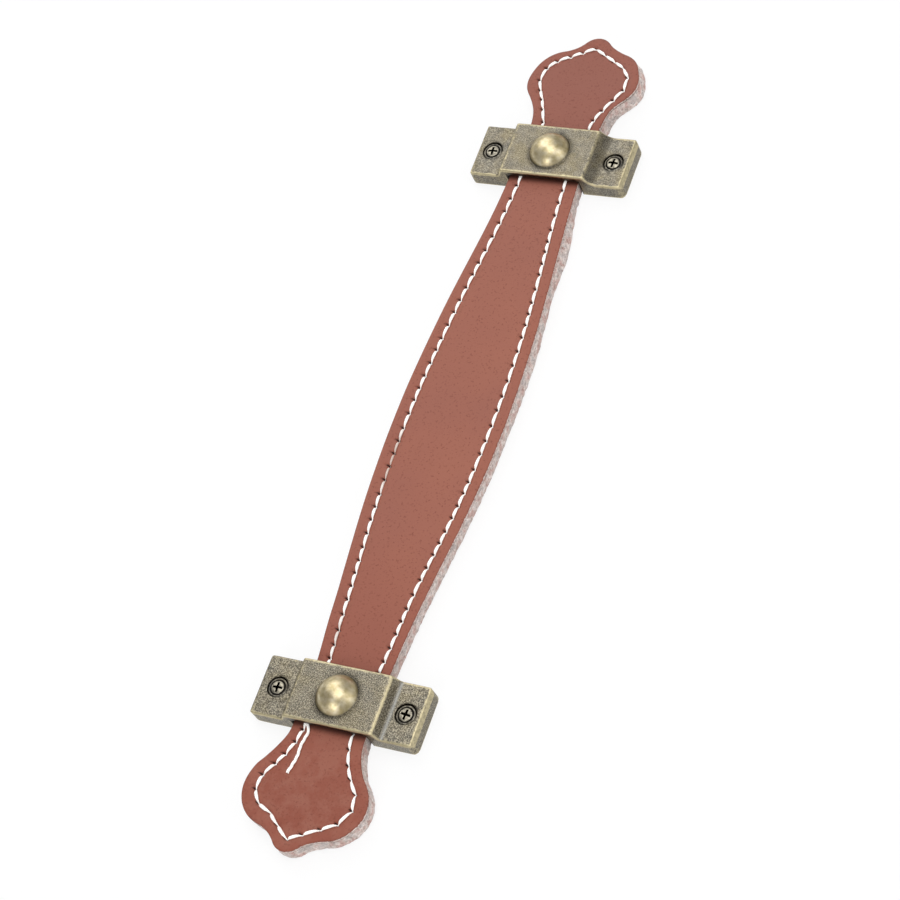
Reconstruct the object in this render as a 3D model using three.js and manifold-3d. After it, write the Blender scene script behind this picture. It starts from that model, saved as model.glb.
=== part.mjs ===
import * as THREE from "three";
import { mergeGeometries, mergeVertices } from "three/addons/utils/BufferGeometryUtils.js";
import Module from "manifold-3d";

const wasm = await Module();
wasm.setup();

// A leather pull for a cabinet door or drawer, lying on its back.
// X runs across the strap, Y along it to the upper bracket, Z out of the door.
// The door's face is Z = 0 and every length is in millimetres.

// Strap
const bracketSpacing = 146.6; // between the middles of the two brackets
const middleHalf = 13.65; // half the strap's width at the grip
const neckHalf = 9; // half its width in a bracket
const neckLead = 1.3; // the taper ends this far inside a bracket's middle
const lobeReach = 22.7; // from a bracket's middle to the lobe's arcs
const lobeRadius = 8.5;
const lobeHalfUpper = 14.3; // the hide is cut by hand, so the two ends differ a little
const lobeHalfLower = 15;
const shoulderRadius = 9; // hollow between a lobe and the point
const tipRadius = 4;
const tipReach = 13; // from the lobe's arcs to the point
const strapLift = 0.4; // room under the strap for the lower thread
const backingThickness = 2.8;
const faceThickness = 1.1;
const faceEdge = 0.35; // rounding along the face leather's upper edge

// Seam
const seamInset = 3.15; // from the edge along the grip and the necks
const lobeInset = 2.65;
const tipInset = 2.8;
const stitchPitch = 3.55;
const threadWidth = 0.72;
const topThreadHeight = 0.45;
const underThreadHeight = 0.28;
const threadGap = 0.06; // between a thread and the leather
const stitchRise = 0.55; // length over which a stitch dives into its hole
const lockGap = 0.2; // between the two threads inside the strap
const tailLength = 10.4; // loose end beside the lower bracket

// Brackets
const bracketWidth = 14; // along the strap
const bridgeClearance = 0.29; // from the thread up to the bridge
const bridgeThickness = 1.64;
const sideClearance = 0.33; // from the strap to each wall of the slot
const cornerClearance = 0.27; // from the strap's rounded edge to the slot's corner
const legThickness = 1.4; // from the slot's wall to the edge of the bridge
const legRun = 1.7; // how far a leg slopes out on its way down
const footThickness = 4.27;
const footLength = 7.5; // from the leg to the outer end
const footCorner = 1.3; // rounding of a foot's upright corners
const endBevel = 0.75; // slope along a foot's outer end
const edgeBevel = 0.42;
const bridgeEdge = 0.28;
const valleyRun = 0.5; // hollow where a leg meets its foot

// Dome cast on each bridge
const domeRadius = 5.15;
const domeRise = 3.3;
const grooveWidth = 0.5;
const grooveDepth = 0.35;

// Screws
const screwFromEnd = 3.97; // from a foot's outer end
const headRadius = 2.25;
const headRise = 0.5;
const headSink = 0.15; // the head's rim lies this far below the foot's top
const shankRadius = 1.25;
const screwLength = 16;
const pointLength = 3.5;
const screwClearance = 0.25; // around head and shank
const crossSpan = 2.7;
const crossWidth = 0.5;
const crossDepth = 0.95;

// Levels and places that follow from the sizes above
const bracketAt = bracketSpacing / 2;
const neckStart = bracketAt - neckLead;
const neckEnd = bracketAt + bracketWidth / 2;
const lobeAt = bracketAt + lobeReach;
const strapTip = lobeAt + tipReach;
const faceBottom = strapLift + backingThickness;
const strapTop = faceBottom + faceThickness;
const topThreadZ = strapTop + threadGap + topThreadHeight / 2;
const underThreadZ = strapLift - threadGap - underThreadHeight / 2;
const lockZ = (strapLift + strapTop) / 2;
const slotTop = strapTop + threadGap + topThreadHeight + bridgeClearance;
const bridgeTop = slotTop + bridgeThickness;
const slotHalf = gripHalf(bracketAt - bracketWidth / 2) + sideClearance;
const slotCorner = sideClearance + slotTop - strapTop + faceEdge
  - cornerClearance * Math.SQRT2;
const bridgeHalf = slotHalf + legThickness;
const legFoot = bridgeHalf + legRun;
const bracketHalf = legFoot + footLength;
const screwAt = bracketHalf - screwFromEnd;
const overcut = 1; // how far a cutter runs past the solid that it cuts

// Half the strap's width at a distance from the middle, up to the neck
function gripHalf(y) {
  if (y >= neckStart) {
    return neckHalf;
  }
  const swell = (1 + Math.cos(Math.PI * y / neckStart)) / 2;
  return neckHalf + (middleHalf - neckHalf) * swell;
}

// Points on an arc, the first and the last included
function arc(x, y, radius, from, to, steps) {
  const points = [];
  for (let i = 0; i <= steps; i += 1) {
    const angle = from + (to - from) * i / steps;
    points.push(new THREE.Vector2(x + radius * Math.cos(angle), y + radius * Math.sin(angle)));
  }
  return points;
}

// Centre of the circle that touches two others from outside, to the left of a to b
function touchingCentre(a, radiusA, b, radiusB, radius) {
  const toB = b.clone().sub(a);
  const distance = toB.length();
  const sideA = radiusA + radius;
  const sideB = radiusB + radius;
  const along = (sideA ** 2 - sideB ** 2 + distance ** 2) / (2 * distance);
  const across = Math.sqrt(sideA ** 2 - along ** 2);
  const direction = toB.normalize();
  const normal = new THREE.Vector2(-direction.y, direction.x);
  return a.clone().addScaledVector(direction, along).addScaledVector(normal, across);
}

// The hollow that leads from the neck into a lobe
function neckHollow(lobeHalf) {
  const lobe = new THREE.Vector2(lobeHalf - lobeRadius, lobeAt);
  const reach = neckHalf - lobe.x;
  const climb = lobeAt - neckEnd;
  const radius = (reach ** 2 + climb ** 2 - lobeRadius ** 2) / (2 * (lobeRadius - reach));
  const centre = new THREE.Vector2(neckHalf + radius, neckEnd);
  const meets = Math.atan2(lobe.y - centre.y, lobe.x - centre.x);
  return { lobe, radius, centre, meets };
}

// Right half of one end of the strap, from the neck to the point
function endEdge(lobeHalf) {
  const hollow = neckHollow(lobeHalf);
  const tip = new THREE.Vector2(0, strapTip - tipRadius);
  const shoulder = touchingCentre(tip, tipRadius, hollow.lobe, lobeRadius, shoulderRadius);
  const lobeTurn = Math.atan2(shoulder.y - hollow.lobe.y, shoulder.x - hollow.lobe.x);
  const tipTurn = Math.atan2(shoulder.y - tip.y, shoulder.x - tip.x);
  return [
    ...arc(hollow.centre.x, hollow.centre.y, hollow.radius, Math.PI, hollow.meets, 5),
    ...arc(hollow.lobe.x, hollow.lobe.y, lobeRadius, hollow.meets - Math.PI, lobeTurn, 10).slice(1),
    ...arc(shoulder.x, shoulder.y, shoulderRadius, lobeTurn + Math.PI, tipTurn + Math.PI, 4).slice(1),
    ...arc(tip.x, tip.y, tipRadius, tipTurn, Math.PI / 2, 3).slice(1),
  ];
}

// Right half of the seam in one end, which cuts straight across below the point
function endSeam(lobeHalf) {
  const hollow = neckHollow(lobeHalf);
  const steps = 8;
  const points = [];
  for (let i = 0; i <= steps; i += 1) {
    const angle = Math.PI + (hollow.meets - Math.PI) * i / steps;
    const inset = seamInset + (lobeInset - seamInset) * i / steps;
    const radius = hollow.radius + inset;
    points.push(new THREE.Vector2(
      hollow.centre.x + radius * Math.cos(angle),
      hollow.centre.y + radius * Math.sin(angle),
    ));
  }
  const tip = new THREE.Vector2(0, strapTip - tipInset);
  const radius = lobeRadius - lobeInset;
  const toLobe = hollow.lobe.clone().sub(tip);
  const leaves = toLobe.angle() + Math.asin(radius / toLobe.length()) + Math.PI / 2;
  const turn = Math.atan2(Math.sin(leaves), Math.cos(leaves));
  points.push(...arc(hollow.lobe.x, hollow.lobe.y, radius, hollow.meets - Math.PI, turn, 12).slice(1));
  points.push(tip);
  return points;
}

// Right side of the strap from the lower point to the upper one, moved in by an inset
function rightSide(endOf, inset) {
  const steps = 12;
  const grip = [];
  for (let i = -steps; i <= steps; i += 1) {
    const y = neckStart * i / steps;
    grip.push(new THREE.Vector2(gripHalf(Math.abs(y)) - inset, y));
  }
  const lower = endOf(lobeHalfLower).reverse();
  return [
    ...lower.map((point) => new THREE.Vector2(point.x, -point.y)),
    ...grip,
    ...endOf(lobeHalfUpper),
  ];
}

// A closed outline from the right side and its mirror image
function closedOutline(side) {
  const inner = side.slice(1, -1).reverse();
  return [...side, ...inner.map((point) => new THREE.Vector2(-point.x, point.y))];
}

// Points at equal steps along a line of points, without the last one
function spaced(points, pitch) {
  const lengths = [0];
  for (let i = 1; i < points.length; i += 1) {
    lengths.push(lengths[i - 1] + points[i].distanceTo(points[i - 1]));
  }
  const total = lengths[lengths.length - 1];
  const count = Math.round(total / pitch);
  const result = [];
  let at = 0;
  for (let i = 0; i < count; i += 1) {
    const target = total * i / count;
    while (lengths[at + 1] < target) {
      at += 1;
    }
    const share = (target - lengths[at]) / (lengths[at + 1] - lengths[at]);
    result.push(points[at].clone().lerp(points[at + 1], share));
  }
  return result;
}

// Needle holes around the whole seam, counter-clockwise from the lower point
function needleHoles() {
  const right = rightSide(endSeam, seamInset);
  const left = right.map((point) => new THREE.Vector2(-point.x, point.y)).reverse();
  return [...spaced(right, stitchPitch), ...spaced(left, stitchPitch)];
}

// Direction to the left of a heading, seen from above
function leftOf(direction) {
  return new THREE.Vector2(-direction.y, direction.x);
}

// Headings into and out of each needle hole
function seamStops(holes) {
  return holes.map((hole, i) => {
    const before = holes[(i + holes.length - 1) % holes.length];
    const after = holes[(i + 1) % holes.length];
    const into = hole.clone().sub(before).normalize();
    const out = after.clone().sub(hole).normalize();
    const heading = into.clone().add(out).normalize();
    const halfTurn = Math.acos(Math.min(1, heading.dot(out)));
    return { hole, after, out, heading, halfTurn };
  });
}

// Boolean work needs shared corners and nothing but positions
function toSolid(geometry) {
  const bare = new THREE.BufferGeometry();
  bare.setAttribute("position", geometry.getAttribute("position").clone());
  bare.setIndex(geometry.index);
  const welded = mergeVertices(bare, 0.0001);
  return new wasm.Manifold(new wasm.Mesh({
    numProp: 3,
    vertProperties: new Float32Array(welded.getAttribute("position").array),
    triVerts: new Uint32Array(welded.index.array),
  }));
}

function toGeometry(solid) {
  const mesh = solid.getMesh();
  const geometry = new THREE.BufferGeometry();
  geometry.setAttribute("position", new THREE.BufferAttribute(mesh.vertProperties, 3));
  geometry.setIndex(new THREE.BufferAttribute(mesh.triVerts, 1));
  const flat = geometry.toNonIndexed();
  flat.computeVertexNormals();
  return flat;
}

// An outline in X and Y pulled up from one level to another, its rims bevelled or sharp
function upright(outline, bottom, top, bevel = 0) {
  const geometry = new THREE.ExtrudeGeometry(new THREE.Shape(outline), {
    depth: top - bottom - 2 * bevel,
    bevelEnabled: bevel > 0,
    bevelThickness: bevel,
    bevelSize: bevel,
    bevelOffset: -bevel,
    bevelSegments: 1,
  });
  geometry.translate(0, 0, bottom + bevel);
  return geometry;
}

// A closed ring of sections, four corners each, turned into a solid
function sweptSolid(sections, closed) {
  const positions = sections.flat().flatMap((corner) => corner.toArray());
  const sides = sections[0].length;
  const count = sections.length;
  const index = [];
  for (let i = 0; i < (closed ? count : count - 1); i += 1) {
    const next = (i + 1) % count;
    for (let j = 0; j < sides; j += 1) {
      const k = (j + 1) % sides;
      index.push(i * sides + j, next * sides + k, i * sides + k);
      index.push(i * sides + j, next * sides + j, next * sides + k);
    }
  }
  if (!closed) {
    const end = (count - 1) * sides;
    for (let j = 1; j < sides - 1; j += 1) {
      index.push(0, j, j + 1);
      index.push(end, end + j + 1, end + j);
    }
  }
  const geometry = new THREE.BufferGeometry();
  geometry.setAttribute("position", new THREE.Float32BufferAttribute(positions, 3));
  geometry.setIndex(index);
  return geometry;
}

// One section of thread, broad on the leather and narrower away from it
function threadSection(point, z, across, height, outward) {
  const half = threadWidth / 2;
  const crown = half * 0.55;
  const low = z - outward * height / 2;
  const high = z + outward * height / 2;
  const corner = (side, level) => new THREE.Vector3(
    point.x + across.x * side,
    point.y + across.y * side,
    level,
  );
  const corners = [corner(half, low), corner(-half, low), corner(-crown, high), corner(crown, high)];
  return outward > 0 ? corners : corners.reverse();
}

// A thread that runs around the seam and dives into every needle hole
function seamThread(stops, flatZ, dipZ, height, outward) {
  const sections = [];
  for (const { hole, after, out, heading, halfTurn } of stops) {
    const across = leftOf(out);
    const mitre = leftOf(heading).multiplyScalar(1 / Math.cos(halfTurn));
    const start = hole.clone().addScaledVector(out, stitchRise);
    const end = after.clone().addScaledVector(out, -stitchRise);
    sections.push(threadSection(hole, dipZ, mitre, height, outward));
    sections.push(threadSection(start, flatZ, across, height, outward));
    sections.push(threadSection(end, flatZ, across, height, outward));
  }
  return sweptSolid(sections, true);
}

// The loose end leaves the first stitch past the lower bracket, on the left
function threadTail(stops) {
  const first = stops.find(({ hole }) => hole.x < 0 && hole.y < -neckEnd);
  const start = first.hole.clone().addScaledVector(first.out, stitchRise * 1.6);
  const bends = [
    [0, 0],
    [0.09, -0.06],
    [0.05, -0.36],
    [0.07, -0.6],
    [-0.01, -1],
  ];
  const line = bends.map(([x, y]) => new THREE.Vector2(
    start.x + x * tailLength,
    start.y + y * tailLength,
  ));
  const curve = new THREE.SplineCurve(line);
  const steps = 10;
  const sections = [];
  for (let i = 0; i <= steps; i += 1) {
    const across = leftOf(curve.getTangentAt(i / steps));
    sections.push(threadSection(curve.getPointAt(i / steps), topThreadZ, across, topThreadHeight, 1));
  }
  return sweptSolid(sections, false);
}

// One upright cutter for each needle hole, wider where the seam turns
function needleCutters(stops, bottom, top) {
  const length = stitchRise + threadGap;
  const cutters = stops.map(({ hole, heading, halfTurn }) => {
    const half = threadWidth / 2 + threadGap + stitchRise * Math.sin(halfTurn);
    const side = leftOf(heading);
    const corner = (along, across) => hole.clone()
      .addScaledVector(heading, along * length)
      .addScaledVector(side, across * half);
    const outline = [corner(1, -1), corner(1, 1), corner(-1, 1), corner(-1, -1)];
    return upright(outline, bottom - overcut, top + overcut);
  });
  return mergeGeometries(cutters);
}

// A profile in X and Z, closed on the axis, turned around Z
function turned(profile, segments) {
  const geometry = new THREE.LatheGeometry(
    profile.map(([radius, z]) => new THREE.Vector2(radius, z)),
    segments,
  );
  geometry.rotateX(Math.PI / 2);
  return geometry;
}

// A shape in X and Z pulled out along Y, centred on the bracket
function alongStrap(shape, length, bevel = 0) {
  const geometry = new THREE.ExtrudeGeometry(shape, {
    depth: length - 2 * bevel,
    bevelEnabled: bevel > 0,
    bevelThickness: bevel,
    bevelSize: bevel,
    bevelOffset: -bevel,
    bevelSegments: 1,
    curveSegments: 3,
  });
  geometry.translate(0, 0, -(length - 2 * bevel) / 2);
  geometry.rotateX(Math.PI / 2);
  return geometry;
}

// The bracket's front: two feet, two sloping legs and the bridge between them
function bracketFront() {
  const slope = (bridgeTop - footThickness) / legRun;
  const shape = new THREE.Shape();
  shape.moveTo(-bracketHalf, -overcut);
  shape.lineTo(bracketHalf, -overcut);
  shape.lineTo(bracketHalf, footThickness - endBevel);
  shape.lineTo(bracketHalf - endBevel, footThickness);
  for (const side of [1, -1]) {
    const turns = [
      () => shape.lineTo(side * (legFoot + valleyRun), footThickness),
      () => shape.quadraticCurveTo(
        side * legFoot, footThickness,
        side * (legFoot - valleyRun * 0.6), footThickness + valleyRun * 0.6 * slope,
      ),
      () => shape.lineTo(side * (bridgeHalf + bridgeEdge / slope), bridgeTop - bridgeEdge),
      () => shape.lineTo(side * (bridgeHalf - bridgeEdge), bridgeTop),
    ];
    if (side > 0) {
      turns.forEach((turn) => turn());
    } else {
      turns[3]();
      turns[2]();
      shape.lineTo(-(legFoot - valleyRun * 0.6), footThickness + valleyRun * 0.6 * slope);
      shape.quadraticCurveTo(-legFoot, footThickness, -(legFoot + valleyRun), footThickness);
    }
  }
  shape.lineTo(-(bracketHalf - endBevel), footThickness);
  shape.lineTo(-bracketHalf, footThickness - endBevel);
  return shape;
}

// Seen from above the bracket is a bar with rounded corners
function bracketPlan() {
  const x = bracketHalf - footCorner;
  const y = bracketWidth / 2 - footCorner;
  const quarter = Math.PI / 2;
  return [
    ...arc(x, -y, footCorner, -quarter, 0, 3),
    ...arc(x, y, footCorner, 0, quarter, 3),
    ...arc(-x, y, footCorner, quarter, 2 * quarter, 3),
    ...arc(-x, -y, footCorner, 2 * quarter, 3 * quarter, 3),
  ];
}

// The slot that the strap's neck runs through
function slotShape() {
  return new THREE.Shape([
    new THREE.Vector2(-slotHalf, -2 * overcut),
    new THREE.Vector2(slotHalf, -2 * overcut),
    new THREE.Vector2(slotHalf, slotTop - slotCorner),
    new THREE.Vector2(slotHalf - slotCorner, slotTop),
    new THREE.Vector2(-(slotHalf - slotCorner), slotTop),
    new THREE.Vector2(-slotHalf, slotTop - slotCorner),
  ]);
}

// Low dome with upright sides inside its groove
function domeProfile() {
  const sphere = (domeRadius ** 2 + domeRise ** 2) / (2 * domeRise);
  const centre = bridgeTop + domeRise - sphere;
  const edge = Math.asin(domeRadius / sphere);
  const root = bridgeTop - grooveDepth - bridgeThickness / 4;
  const profile = [[0, root], [domeRadius, root]];
  const rings = 5;
  for (let i = 0; i < rings; i += 1) {
    const angle = edge * (1 - i / rings);
    profile.push([sphere * Math.sin(angle), centre + sphere * Math.cos(angle)]);
  }
  profile.push([0, bridgeTop + domeRise]);
  return profile;
}

// Dish that leaves the groove around the dome
function grooveProfile() {
  const outer = domeRadius + grooveWidth;
  return [
    [0, bridgeTop - grooveDepth],
    [outer - grooveDepth / 2, bridgeTop - grooveDepth],
    [outer + overcut / 2, bridgeTop - grooveDepth + (overcut + grooveDepth) / 2 * 2],
    [0, bridgeTop + overcut],
  ];
}

// Level of a screw head's rim, from which the head and its seat take their cone
const rimZ = footThickness - headSink;

// Countersunk hole with room for the screw
function seatProfile() {
  const bore = shankRadius + screwClearance;
  const rim = headRadius + screwClearance;
  return [
    [0, -overcut],
    [bore, -overcut],
    [bore, rimZ - (rim - bore)],
    [rim + headSink + overcut, footThickness + overcut],
    [0, footThickness + overcut],
  ];
}

// The raised countersunk screw, from its point to the top of its head
function screwProfile() {
  const tip = rimZ - screwLength;
  const sphere = (headRadius ** 2 + headRise ** 2) / (2 * headRise);
  const crown = (radius) => rimZ + headRise - sphere + Math.sqrt(sphere ** 2 - radius ** 2);
  return [
    [0, tip],
    [shankRadius, tip + pointLength],
    [shankRadius, rimZ - (headRadius - shankRadius)],
    [headRadius, rimZ],
    [headRadius * 0.65, crown(headRadius * 0.65)],
    [0, rimZ + headRise],
  ];
}

// Cross recess for the driver
function crossOutline() {
  const long = crossSpan / 2;
  const short = crossWidth / 2;
  const corners = [];
  for (let i = 0; i < 4; i += 1) {
    const turn = i * Math.PI / 2;
    const origin = new THREE.Vector2();
    corners.push(new THREE.Vector2(long, -short).rotateAround(origin, turn));
    corners.push(new THREE.Vector2(long, short).rotateAround(origin, turn));
    corners.push(new THREE.Vector2(short, short).rotateAround(origin, turn));
  }
  return corners;
}

function bracketGeometry() {
  let solid = toSolid(alongStrap(bracketFront(), bracketWidth, edgeBevel));
  solid = solid.intersect(toSolid(upright(bracketPlan(), 0, bridgeTop + overcut)));
  solid = solid.subtract(toSolid(alongStrap(slotShape(), bracketWidth + 2 * overcut)));
  solid = solid.subtract(toSolid(turned(grooveProfile(), 20)));
  solid = solid.add(toSolid(turned(domeProfile(), 20)));
  for (const side of [1, -1]) {
    const seat = turned(seatProfile(), 14);
    seat.translate(side * screwAt, 0, 0);
    solid = solid.subtract(toSolid(seat));
  }
  return toGeometry(solid);
}

function screwGeometry(turn) {
  const recess = upright(crossOutline(), rimZ + headRise - crossDepth, rimZ + headRise + overcut);
  const solid = toSolid(turned(screwProfile(), 12)).subtract(toSolid(recess));
  const geometry = toGeometry(solid);
  geometry.rotateZ(THREE.MathUtils.degToRad(turn));
  return geometry;
}

const pull = new THREE.Group();
pull.name = "leather_cabinet_pull";

function addPiece(name, geometry, material) {
  const mesh = new THREE.Mesh(geometry, material);
  mesh.name = name;
  pull.add(mesh);
}

// Leather, stitched through both layers
const stops = seamStops(needleHoles());
const edge = closedOutline(rightSide(endEdge, 0));

function leatherLayer(bottom, top, bevel) {
  const cutters = toSolid(needleCutters(stops, bottom, top));
  const below = bottom - 2 * bevel;
  const wide = middleHalf + lobeHalfUpper + lobeHalfLower;
  const long = strapTip + overcut;
  const keep = [[-wide, -long], [wide, -long], [wide, long], [-wide, long]]
    .map(([x, y]) => new THREE.Vector2(x, y));
  return toGeometry(toSolid(upright(edge, below, top, bevel))
    .intersect(toSolid(upright(keep, bottom, top + overcut)))
    .subtract(cutters));
}

addPiece(
  "strap_face_leather",
  leatherLayer(faceBottom, strapTop, faceEdge),
  new THREE.MeshStandardMaterial({ name: "face_leather", color: "#a16b5e", roughness: 0.6 }),
);
addPiece(
  "strap_backing_leather",
  leatherLayer(strapLift, faceBottom, 0),
  new THREE.MeshStandardMaterial({ name: "backing_leather", color: "#c3b0aa", roughness: 0.9 }),
);

const topThread = toSolid(seamThread(
  stops, topThreadZ, lockZ + lockGap / 2 + topThreadHeight / 2, topThreadHeight, 1,
)).add(toSolid(threadTail(stops)));
const underThread = toSolid(seamThread(
  stops, underThreadZ, lockZ - lockGap / 2 - underThreadHeight / 2, underThreadHeight, -1,
));
addPiece(
  "stitch_thread_top",
  toGeometry(topThread),
  new THREE.MeshStandardMaterial({ name: "top_thread", color: "#f1ede4", roughness: 0.8 }),
);
addPiece(
  "stitch_thread_under",
  toGeometry(underThread),
  new THREE.MeshStandardMaterial({ name: "under_thread", color: "#efeae0", roughness: 0.8 }),
);

// Brackets and their screws, each cross turned as it was left by the driver
const ends = [
  { name: "upper", y: bracketAt, crossTurns: { left: 4, right: -3 } },
  { name: "lower", y: -bracketAt, crossTurns: { left: 2, right: -6 } },
];
for (const { name, y, crossTurns } of ends) {
  const bracket = bracketGeometry();
  bracket.translate(0, y, 0);
  addPiece(`bracket_${name}`, bracket, new THREE.MeshStandardMaterial({
    name: `antique_brass_${name}`, color: "#968c73", metalness: 1, roughness: 0.45,
  }));
  for (const side of ["left", "right"]) {
    const screw = screwGeometry(crossTurns[side]);
    screw.translate(side === "left" ? -screwAt : screwAt, y, 0);
    addPiece(`screw_${name}_${side}`, screw, new THREE.MeshStandardMaterial({
      name: `screw_bronze_${name}_${side}`, color: "#6e6552", metalness: 1, roughness: 0.4,
    }));
  }
}

export default pull;
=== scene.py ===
import math
from functools import partial

import bmesh
import bpy
import numpy as np
from mathutils import Matrix, Vector, kdtree, noise


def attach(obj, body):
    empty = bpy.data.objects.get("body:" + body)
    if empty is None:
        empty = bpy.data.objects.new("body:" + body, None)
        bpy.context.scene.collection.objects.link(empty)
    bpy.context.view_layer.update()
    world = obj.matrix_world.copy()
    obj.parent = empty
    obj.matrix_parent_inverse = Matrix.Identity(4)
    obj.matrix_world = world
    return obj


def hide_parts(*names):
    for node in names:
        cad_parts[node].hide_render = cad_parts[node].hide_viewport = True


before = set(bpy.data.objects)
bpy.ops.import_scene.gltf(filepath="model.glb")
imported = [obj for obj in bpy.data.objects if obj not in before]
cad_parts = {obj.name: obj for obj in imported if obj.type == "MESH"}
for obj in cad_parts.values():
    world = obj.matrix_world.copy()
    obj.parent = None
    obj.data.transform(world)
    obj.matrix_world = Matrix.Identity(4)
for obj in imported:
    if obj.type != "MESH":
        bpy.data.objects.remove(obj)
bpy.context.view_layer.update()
mm = 0.001  # shapes are drawn in millimetres and made metres when they are done


# Camera

cameraPose = {
    "place": (0.246552, -0.231870, 0.457090),  # metres from the middle of the fixing pattern
    "turn": (31.6258, 18.4004, 20.4152),  # degrees
    "lens": 98.41,
    "sensor": 36,
}

cameraData = bpy.data.cameras.new("photoCamera")
cameraData.lens = cameraPose["lens"]
cameraData.sensor_width = cameraPose["sensor"]
cameraData.clip_end = 20
camera = bpy.data.objects.new("photoCamera", cameraData)
camera.location = cameraPose["place"]
camera.rotation_euler = [math.radians(angle) for angle in cameraPose["turn"]]
bpy.context.scene.collection.objects.link(camera)
bpy.context.scene.camera = camera
print("camera set")


# Helpers for meshes

def loft(bm, rings):
    # a skin through closed rings of as many places each, and the edges of its first and last ring
    rows = [[bm.verts.new(place) for place in ring] for ring in rings]
    for row, after in zip(rows, rows[1:]):
        for i in range(len(row)):
            bm.faces.new((row[i - 1], row[i], after[i], after[i - 1]))
    return [[bm.edges.get((row[i - 1], row[i])) for i in range(len(row))] for row in (rows[0], rows[-1])]


def meshArrays(mesh):
    places = np.empty(len(mesh.vertices) * 3)
    mesh.vertices.foreach_get("co", places)
    normals = np.empty(len(mesh.vertices) * 3)
    mesh.vertices.foreach_get("normal", normals)
    ends = np.empty(len(mesh.edges) * 2, int)
    mesh.edges.foreach_get("vertices", ends)
    return places.reshape(-1, 3), normals.reshape(-1, 3), ends.reshape(-1, 2)


def setPlaces(mesh, places):
    mesh.vertices.foreach_set("co", np.ravel(places))
    mesh.update()


def setShares(mesh, **shares):
    for name, values in shares.items():
        layer = mesh.attributes.new(name, "FLOAT", "POINT")
        layer.data.foreach_set("value", np.ravel(values).astype(np.float32))


def toMesh(name, bm):
    bmesh.ops.recalc_face_normals(bm, faces=bm.faces)
    mesh = bpy.data.meshes.new(name)
    bm.to_mesh(mesh)
    bm.free()
    return mesh


def toObject(name, mesh):
    thing = bpy.data.objects.new(name, mesh)
    bpy.context.scene.collection.objects.link(thing)
    return thing


def finishPiece(name, mesh, node, material):
    # makes the mesh metres, gives the piece its body and its material, and hides its node
    mesh.transform(Matrix.Scale(mm, 4))
    mesh.name = name
    mesh.shade_smooth()
    mesh.materials.clear()
    mesh.materials.append(material)
    piece = toObject(name, mesh)
    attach(piece, "root")
    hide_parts(node)
    print(name, len(mesh.polygons), "faces")


def bump(values, middle, reach):
    # smooth hump that is 1 at its middle and 0 beyond its reach
    share = np.clip(np.abs(np.asarray(values) - middle) / reach, 0, 1)
    return (1 + np.cos(np.pi * share)) / 2


def humps(values, rows):
    # several humps together, each given by its middle, its reach and its height
    return sum(height * bump(values, middle, reach) for middle, reach, height in rows)


def ramp(values, start, stop):
    # rises or falls evenly from 0 at start to 1 at stop
    return np.clip((values - start) / (stop - start), 0, 1)


def noiseAt(places, size, seed):
    shift = Vector((seed * 17.3, seed * 5.1, seed * 9.7))
    return np.array([noise.noise(Vector(place) / size + shift) for place in places])


# Helpers for materials

def colour(hexValue):
    parts = [int(hexValue[i:i + 2], 16) / 255 for i in (1, 3, 5)]
    return [part / 12.92 if part <= 0.04045 else ((part + 0.055) / 1.055) ** 2.4
            for part in parts] + [1]


def newMaterial(name):
    material = bpy.data.materials.new(name)
    material.use_nodes = True
    material.node_tree.nodes.clear()
    return material, partial(addNode, material.node_tree)


def addNode(tree, kind, inputs=(), output=0, stops=(), **settings):
    # inputs come by name or in their order, each a number, a list of numbers, a hex colour or another
    # node's socket, and stops are the places and colours of a ramp
    node = tree.nodes.new("ShaderNode" + kind)
    for name, value in settings.items():
        setattr(node, name, value)
    for key, value in inputs.items() if isinstance(inputs, dict) else enumerate(inputs):
        if isinstance(value, bpy.types.NodeSocket):
            tree.links.new(value, node.inputs[key])
        elif isinstance(value, str):
            node.inputs[key].default_value = colour(value)
        else:
            node.inputs[key].default_value = value
    for i, (position, hexValue) in enumerate(stops):
        elements = node.color_ramp.elements
        element = elements[i] if i < len(elements) else elements.new(position)
        element.position = position
        element.color = colour(hexValue)
    return node.outputs[output] if len(node.outputs) else node


def millimetres(add):
    place = add("TexCoord", (), "Object")
    return add("Mapping", {"Vector": place, "Scale": [1 / mm] * 3})


def coated(add, base, coats, blend="MIX"):
    # lays coats over a colour: what each one follows, a socket or a point attribute, the values where
    # it starts and is full, how much it then covers and its own colour
    for guide, start, full, most, tone in coats:
        if isinstance(guide, str):
            guide = add("Attribute", (), "Fac", attribute_name=guide)
        share = add("MapRange", [guide, start, full, 0, most])
        base = add("Mix", {0: share, 6: base, 7: tone}, 2, data_type="RGBA", blend_type=blend)
    return base


# The strap's outline and seam

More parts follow.
